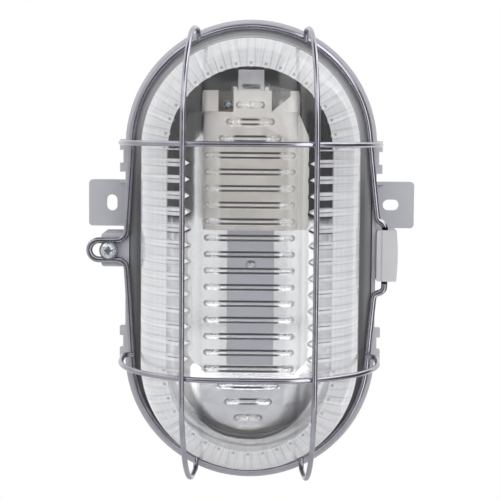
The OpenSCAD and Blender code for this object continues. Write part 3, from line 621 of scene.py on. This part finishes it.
def arc(centre, radius, start, stop, steps):
    """Points on an arc, its ends too, in that many steps."""
    turns = [start + (stop - start) * i / steps for i in range(steps + 1)]
    return [(centre[0] + radius * math.cos(t), centre[1] + radius * math.sin(t)) for t in turns]


def sweep_oval(bm, section, end_steps, side_steps):
    """Sweeps a half section, as (distance from the middle, distance from the wall), round the oval."""
    verts = [bm.verts.new((r, -depth, end_z)) for r, depth in section]
    last = verts + [bm.edges.new(pair) for pair in zip(verts, verts[1:])]
    for end in (1, -1):
        made = bmesh.ops.spin(bm, geom=last, cent=(0, 0, end * end_z), axis=(0, -1, 0), angle=math.pi,
                              steps=end_steps, use_merge=False, use_duplicate=False)
        last = made["geom_last"]
        for _ in range(side_steps):
            edges = [g for g in last if isinstance(g, bmesh.types.BMEdge)]
            grown = bmesh.ops.extrude_edge_only(bm, edges=edges)["geom"]
            moved = {g for g in grown if isinstance(g, bmesh.types.BMVert)}
            bmesh.ops.translate(bm, verts=list(moved), vec=(0, 0, -end * 2 * end_z / side_steps))
            last = [g for g in grown if isinstance(g, bmesh.types.BMEdge) and moved.issuperset(g.verts)]
            last += moved
    bmesh.ops.remove_doubles(bm, verts=bm.verts, dist=weld_gap)


def helix(bm, profile, centre, axis, pitch, turns, steps):
    """Winds an open profile, one pitch long, into a thread round an axis."""
    verts = [bm.verts.new(point) for point in profile]
    edges = [bm.edges.new(pair) for pair in zip(verts, verts[1:])]
    climb = Vector(axis) * (pitch / steps)
    bmesh.ops.spin(bm, geom=verts + edges, cent=centre, axis=axis, dvec=climb, angle=2 * math.pi * turns,
                   steps=steps * turns, use_merge=False, use_duplicate=False)
    bmesh.ops.remove_doubles(bm, verts=bm.verts, dist=weld_gap)


def make_closure_screw(finish):
    """The captive screw: its CAD node with a thinner shank, and a thread wound round that."""
    low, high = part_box("closure_screw")
    middle = (low + high) / 2
    bm = copy_of("closure_screw")
    margin = 0.1 * mm
    shank = [v for v in bm.verts if -v.co.y < head_under + margin
             and math.hypot(v.co.x - middle.x, v.co.z - middle.z) < thread_crest + margin]
    bmesh.ops.scale(bm, vec=(thread_core, 1, thread_core), space=Matrix.Translation(-middle), verts=shank)
    turns = round((head_under + high.y) / thread_pitch) - 1
    profile = [(middle.x + r, high.y - thread_pitch * part, middle.z)
               for r, part in ((thread_root, 0), (thread_crest, 0.5), (thread_root, 1))]
    helix(bm, profile, middle, (0, -1, 0), thread_pitch, turns, thread_steps)
    bmesh.ops.holes_fill(bm, edges=[e for e in bm.edges if e.is_boundary], sides=0)
    bmesh.ops.recalc_face_normals(bm, faces=bm.faces)
    bmesh.ops.triangulate(bm, faces=[f for f in bm.faces if len(f.verts) > 4])
    smooth_by_angle(bm, 35)
    stand_in(add_piece("threaded_screw", bm, [finish]), "closure_screw")


def make_screw_shell(finish):
    """The holder's brass shell, rolled from thin sheet with its round thread."""
    low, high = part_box("screw_shell")
    middle = (low + high) / 2
    crest = high.x - shell_sheet / 2
    bm = bmesh.new()
    parts = [i / wave_steps for i in range(wave_steps + 1)]
    profile = [(crest - shell_wave * (1 - math.cos(2 * math.pi * part)) / 2, middle.y,
                low.z - shell_pitch * (1 - part)) for part in parts]
    turns = math.ceil((high.z - low.z) / shell_pitch) + 1
    helix(bm, profile, middle, (0, 0, 1), shell_pitch, turns, shell_steps)
    for end, way in ((low.z, -1), (high.z, 1)):
        bmesh.ops.bisect_plane(bm, geom=bm.verts[:] + bm.edges[:] + bm.faces[:], dist=0.001 * mm,
                               plane_co=(0, 0, end), plane_no=(0, 0, way), clear_outer=True)
    bmesh.ops.recalc_face_normals(bm, faces=bm.faces)
    smooth_by_angle(bm, 60)
    piece = add_piece("rolled_shell", bm, [finish])
    sheet = piece.modifiers.new("sheet", "SOLIDIFY")
    sheet.thickness = shell_sheet
    sheet.offset = 0
    stand_in(piece, "screw_shell")


def ridge(distance, half):
    """Height of a rounded ridge of height 1 at a distance from its middle."""
    return math.cos(distance / half * math.pi / 2) if distance < half else 0.0


def moulded_height(x, z):
    """Height in millimetres of the ribs and bars at a place on the inside of the glass."""
    side, height = abs(x), abs(z)
    over = max(height - end_mm, 0)
    reach = math.hypot(side, over)
    if over > 0:
        turn = math.degrees(math.atan2(over, side))
        across = abs((turn / rib_step + 0.5) % 1 - 0.5) * rib_step * math.radians(1) * reach
        half = rib_half * min(max((reach - window_r) / rib_half, 0.001), 1)
    else:
        across = abs((z / rib_pitch + 0.5) % 1 - 0.5) * rib_pitch
        half = rib_half * min(max((side - rib_tip) / rib_taper, 0.001), 1)
    rise = rib_h * ridge(across, half) * min(half / rib_half * 1.5, 1)
    row = int(height / rib_pitch)
    lengths = [bar_half] * bar_rows + end_bars
    if row < len(lengths):
        past = max(side - lengths[row] + bar_r, 0)
        rise = max(rise, 0.8 * ridge(math.hypot(past, height - (row + 0.5) * rib_pitch), bar_r))
    return rise


def skin_depth(x, y, z):
    """How deep a place lies under the smooth outer surface of the glass wall."""
    r = math.hypot(x, max(abs(z) - end_z, 0))
    if -y < shoulder_y:
        return glass_r - r
    return shoulder_r - math.hypot(max(r - flat_half, 0), -y - shoulder_y)


def make_glass(clear, pattern):
    """The pressed cover, swept as one closed skin, whose inside then grows its ribs and bars."""
    inner_r = glass_r - glass_t
    turned = shoulder_r - glass_t
    quarter = math.pi / 2
    window = math.acos((rib_tip * mm - flat_half) / turned)
    fillet = 1.2 * mm
    nose = 0.6 * mm
    section = [(flat_half * i / 11, glass_front - glass_t) for i in range(11)]
    section += arc((flat_half, shoulder_y), turned, quarter, window, 19)
    section += arc((flat_half, shoulder_y), turned, window, 0, 28)[1:]
    section += [(inner_r, shoulder_y + (flange_back - shoulder_y) * i / 5) for i in range(1, 6)]
    section += arc((flange_r - nose, flange_face - nose), nose, 0, quarter, 2)
    section += arc((glass_r + fillet, flange_face + fillet), fillet, 1.5 * math.pi, math.pi, 3)
    section += arc((flat_half, shoulder_y), shoulder_r, 0, quarter, 16)
    section += [(flat_half * i / 2, glass_front) for i in (1, 0)]
    section.insert(section.index((inner_r, flange_back)) + 1, (flange_r, flange_back))
    bm = bmesh.new()
    sweep_oval(bm, section, end_steps=216, side_steps=208)
    bmesh.ops.recalc_face_normals(bm, faces=bm.faces)
    for face in bm.faces:
        face.material_index = int(skin_depth(*face.calc_center_median()) > glass_t / 2)
    bm.normal_update()
    wall_start = flange_face + 2 * mm
    for v in bm.verts:
        if -v.co.y > wall_start and skin_depth(*v.co) > glass_t / 2:
            v.co += v.normal * moulded_height(v.co.x / mm, v.co.z / mm) * mm
    smooth_by_angle(bm, 50)
    stand_in(add_piece("pressed_glass", bm, [clear, pattern]), "glass_cover")


make_camera()
make_world()
add_lamp("key_lamp", Vector((0.3, -1.15, 0.75)), 1.3, 15)
add_lamp("fill_lamp", Vector((-0.75, -1.0, 0.1)), 1.2, 5)
scene.view_settings.view_transform = "Standard"

bodies = {}
for body, members in frame["record"]["behaviour"]["bodies"].items():
    for member in members:
        bodies[member] = body

housing_grey = moulded("housing_grey", (0.46, 0.46, 0.50), 0.42)
hinge_grey = moulded("hinge_grey", (0.52, 0.52, 0.535), 0.4)
bracket_grey = bracket_plastic()
cream = holder_plastic()
paint = wire_paint()
zinc = zinc_plate("zinc_plate", (0.50, 0.56, 0.60), (0.74, 0.78, 0.80))
# Painted shade: the terminal screws are dark, deep in the holder's pockets.
zinc_in_painted_shade = zinc_plate("zinc_in_painted_shade", (0.12, 0.16, 0.21), (0.30, 0.36, 0.42))
contact = brass("stamped_brass", (0.62, 0.45, 0.2), (0.78, 0.62, 0.32))
# Painted shade: the terminals are nearly black, deep in the holder's pockets.
contact_in_painted_shade = brass("brass_in_painted_shade", (0.03, 0.022, 0.015), (0.07, 0.05, 0.03))
seal = rubber("seal_rubber", (0.19, 0.195, 0.165), (0.30, 0.30, 0.27))
grommet = rubber("grommet_rubber", (0.03, 0.03, 0.033), (0.07, 0.07, 0.075))
bright_metal = reflector_metal()

for wire in ("cage_ring", "cage_wire_left", "cage_wire_right", "cage_wire_upper", "cage_wire_lower"):
    smooth_wire(wire, paint)
soften("housing", housing_grey, 0.35)
soften("hinge_block", hinge_grey, 0.5)
soften("holder_bracket", bracket_grey, 0.3)
soften("lampholder_body", cream, 0.3)
soften("reflector", bright_metal, 0.0)
make_glass(glass_clear(), glass_pattern())
make_closure_screw(zinc)
make_screw_shell(contact)
make_floor(Finish("floor_paper", 0.8, Base_Color=(0.92, 0.92, 0.92)))

finishes = {
    "gasket": seal, "cable_grommet": grommet, "blanking_grommet": grommet, "contact_insulator": cream,
    "centre_contact": contact, "terminal_left": contact_in_painted_shade, "terminal_right": contact_in_painted_shade,
    "terminal_screws": zinc_in_painted_shade, "reflector_screw": zinc, "holder_screws": zinc, "hinge_screws": zinc,
    "closure_washer": zinc,
}
for name, finish in finishes.items():
    nodes[name].data.materials.clear()
    nodes[name].data.materials.append(finish.material)
